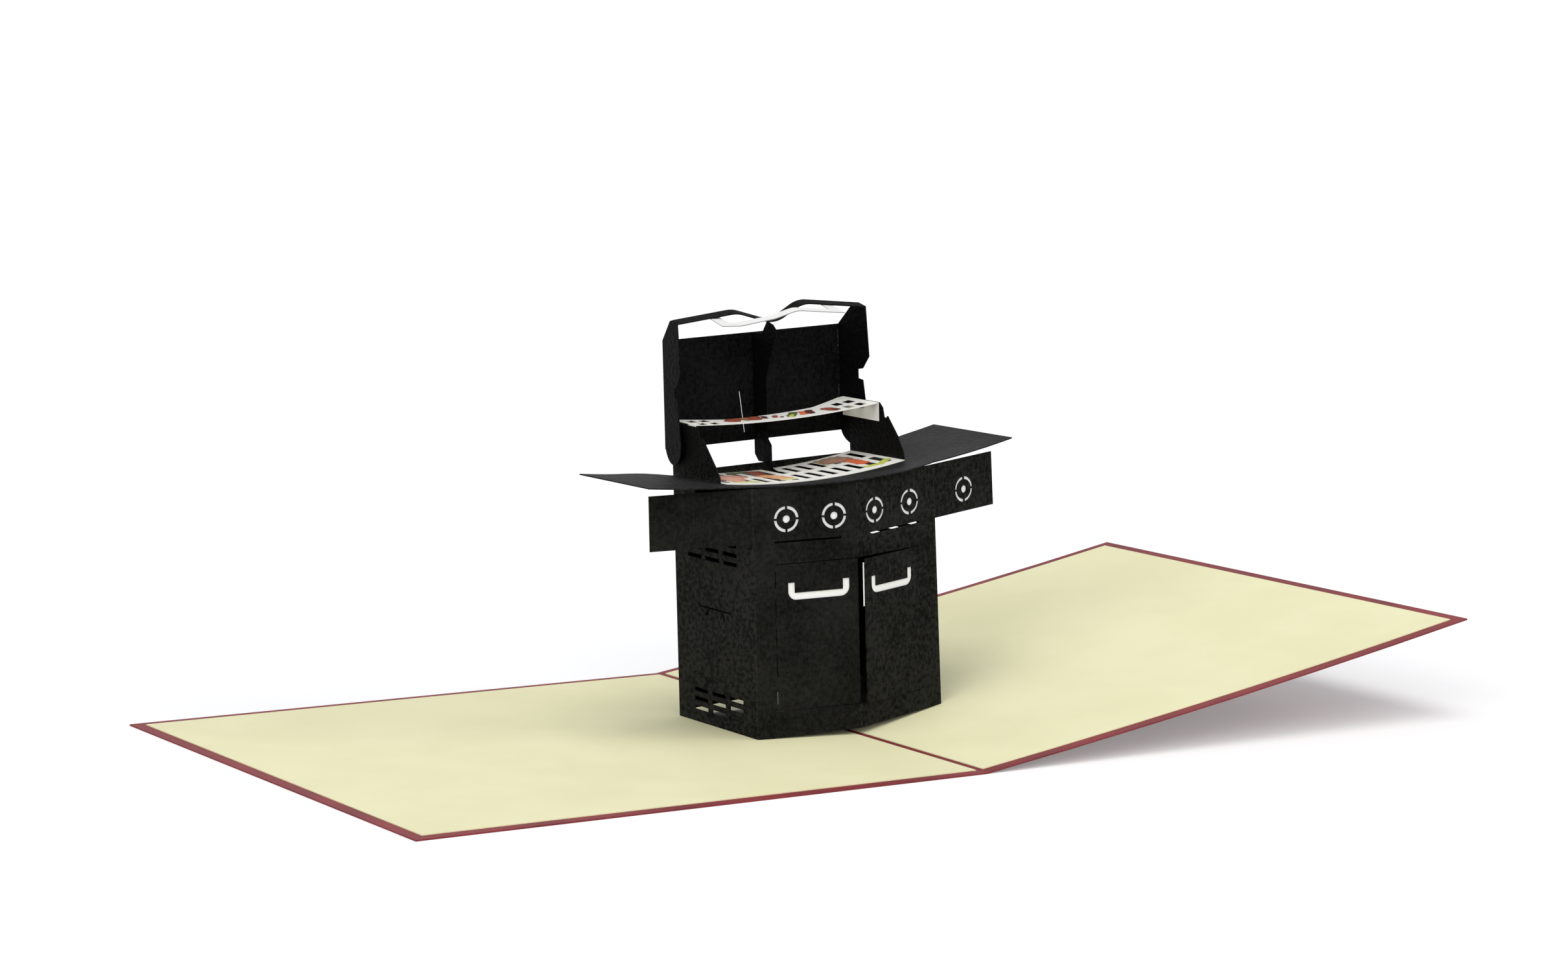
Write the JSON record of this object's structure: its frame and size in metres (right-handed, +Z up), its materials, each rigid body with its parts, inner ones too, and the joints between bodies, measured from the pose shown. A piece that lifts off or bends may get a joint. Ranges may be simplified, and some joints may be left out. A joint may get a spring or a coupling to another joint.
{
  "type": "pop-up greeting card",
  "caption": "Square folded greeting card, opened out, with a barbecue grill of slotted black card standing on its spine.",
  "frame": {"origin": "middle of the spine, on the surface that the left page lies on", "axes": "+X across the spine towards the raised right page, +Y along the spine towards the back of the grill, +Z up"},
  "size_m": [0.2979, 0.15, 0.1037],
  "materials": {
    "maroon_card": "matte",
    "cream_paper": "matte",
    "black_card": "matte",
    "white_paper": "satin"
  },
  "bodies": {
    "root": {"card_cover": "maroon_card", "liner_left": "cream_paper", "liner_right": "cream_paper", "cabinet": "black_card", "back_wall": "black_card", "worktop": "black_card", "lid": "black_card", "lid_rib": "black_card", "lid_handle": "white_paper", "warming_rack": "white_paper", "cooking_grate": "white_paper", "knob_backing_left": "white_paper", "knob_backing_right": "white_paper", "door_backing_left": "white_paper", "door_backing_right": "white_paper"}
  },
  "joints": []
}
